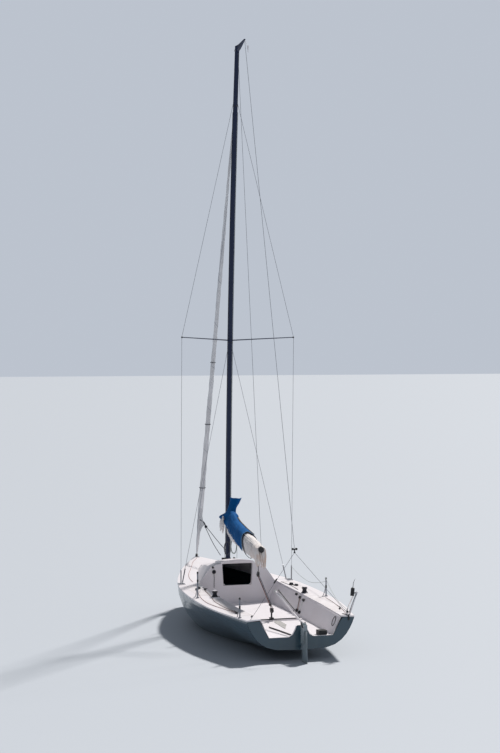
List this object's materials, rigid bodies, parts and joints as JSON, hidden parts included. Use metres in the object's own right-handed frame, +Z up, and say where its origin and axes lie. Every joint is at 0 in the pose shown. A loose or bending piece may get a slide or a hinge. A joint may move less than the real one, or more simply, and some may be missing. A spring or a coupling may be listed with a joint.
{
  "type": "sport keelboat",
  "caption": "Open-transom keelboat afloat with a raked mast, flaked mainsail under a blue cover, furled headsail, tiller and transom-hung rudder.",
  "frame": {"origin": "on the waterline, on the centreline, halfway between the transom and the stem head", "axes": "+X towards the bow, +Y to port, +Z up"},
  "size_m": [7.85, 2.6632, 13.3531],
  "materials": {
    "topsides_gelcoat": "glossy slate blue-grey gelcoat on the topsides and the transom",
    "deck_gelcoat": "white gelcoat with moulded non-slip areas",
    "keel_coating": "dark bottom paint over cast iron and lead",
    "spar_paint": "dark navy anodised and painted alloy",
    "rigging_steel": "stainless wire and rod",
    "polished_steel": "polished stainless",
    "black_fitting": "black moulded fittings",
    "black_alloy": "black anodised alloy",
    "cover_cloth": "blue woven cover cloth, faded on top",
    "sailcloth": "off-white sailcloth with a tan stain at the leech",
    "jib_cloth": "pale grey sailcloth in a tight roll",
    "rope": "braided polyester rope",
    "rudder_gelcoat": "pale grey gelcoat"
  },
  "bodies": {
    "hull": {"hull_shell": "topsides_gelcoat", "transom": "topsides_gelcoat", "deck": "deck_gelcoat", "coachroof": "deck_gelcoat", "cabin_bulkhead": "deck_gelcoat", "cockpit_sole": "deck_gelcoat", "cockpit_side_port": "deck_gelcoat", "cockpit_side_starboard": "deck_gelcoat", "traveller_ridge": "deck_gelcoat", "keel_fin": "keel_coating", "keel_bulb": "keel_coating", "mast": "spar_paint", "masthead_crane": "spar_paint", "spreader_port": "spar_paint", "spreader_starboard": "spar_paint", "upper_shroud_port": "rigging_steel", "upper_shroud_starboard": "rigging_steel", "upper_shroud_top_port": "rigging_steel", "upper_shroud_top_starboard": "rigging_steel", "lower_shroud_port": "rigging_steel", "lower_shroud_starboard": "rigging_steel", "forestay": "rigging_steel", "backstay": "rigging_steel", "bridle_leg_port": "rigging_steel", "bridle_leg_starboard": "rigging_steel", "chainplate_port": "polished_steel", "chainplate_starboard": "polished_steel", "bow_fitting": "polished_steel", "mast_step": "polished_steel", "gooseneck": "polished_steel", "stanchion_port_middle": "polished_steel", "stanchion_port_quarter": "polished_steel", "stanchion_starboard_middle": "polished_steel", "stern_rail": "polished_steel", "furler_drum": "black_fitting", "bridle_block": "black_fitting", "traveller_car": "black_fitting", "compass": "black_fitting", "sill_pad": "black_fitting", "gudgeon_upper": "black_fitting", "gudgeon_lower": "black_fitting", "winch_port": "black_alloy", "winch_starboard": "black_alloy", "genoa_track_port": "black_alloy", "genoa_track_starboard": "black_alloy", "traveller_track": "black_alloy", "furled_jib": "jib_cloth", "mainsheet_fall": "rope"},
    "boom": {"boom": "spar_paint", "boom_end_cap": "black_fitting", "flaked_mainsail": "sailcloth", "sail_cover": "cover_cloth", "topping_lift": "rope", "mainsheet_block": "black_fitting"},
    "rudder": {"rudder_blade": "rudder_gelcoat", "rudder_head": "rudder_gelcoat", "tiller": "polished_steel", "tiller_extension": "black_fitting"},
    "hatch": {"companionway_hatch": "deck_gelcoat"}
  },
  "joints": [
    {"name": "boom_swing", "type": "hinge", "parent": "hull", "child": "boom", "pos_m": [0.99, 0, 1.93], "axis": [-0.0848, 0, 0.9964], "range_deg": [-50, 62]},
    {"name": "rudder_turn", "type": "hinge", "parent": "hull", "child": "rudder", "pos_m": [-3.8, 0, 0.5], "axis": [0, 0, 1], "range_deg": [-42, 42]},
    {"name": "hatch_lift", "type": "hinge", "parent": "hull", "child": "hatch", "pos_m": [0.835, 0, 1.296], "axis": [0, 1, 0], "range_deg": [0, 45]}
  ]
}
